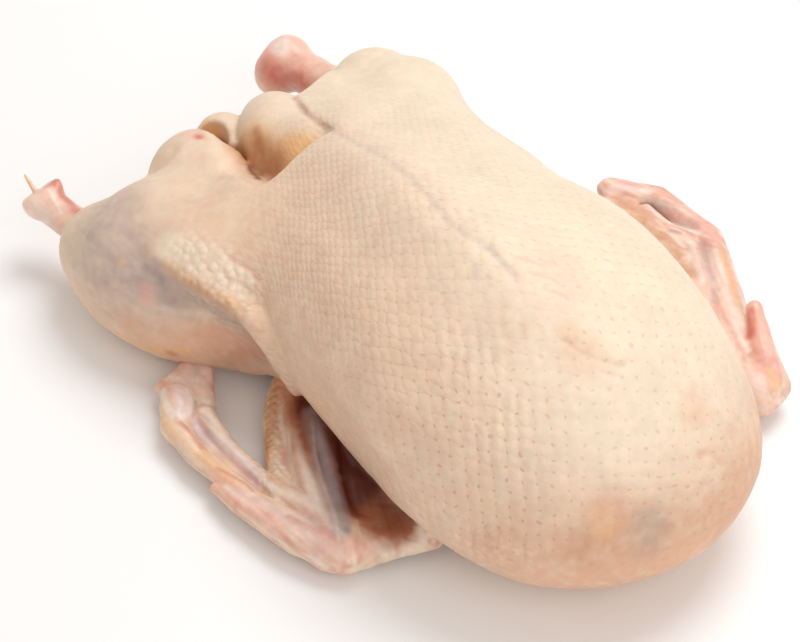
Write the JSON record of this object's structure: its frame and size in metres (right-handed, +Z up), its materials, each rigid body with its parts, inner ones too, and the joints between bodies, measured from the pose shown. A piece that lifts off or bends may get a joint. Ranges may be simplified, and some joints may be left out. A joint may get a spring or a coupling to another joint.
{
  "type": "whole raw goose",
  "caption": "Plucked and dressed raw goose lying on its back, with a full breast, folded wings, legs cut off at the hock and an opening at the vent.",
  "frame": {"origin": "middle of the bottom of the whole bird's bounding box, wings and legs included, on the surface it lies on", "axes": "+X towards the neck end, +Y towards the bird's right side, +Z up out of the breast"},
  "size_m": [0.48, 0.375, 0.1672],
  "materials": {
    "raw_skin": "moist pale skin, cream on the breast, pink and mauve on the legs and wings"
  },
  "bodies": {
    "root": {"goose": "raw_skin"}
  },
  "joints": []
}
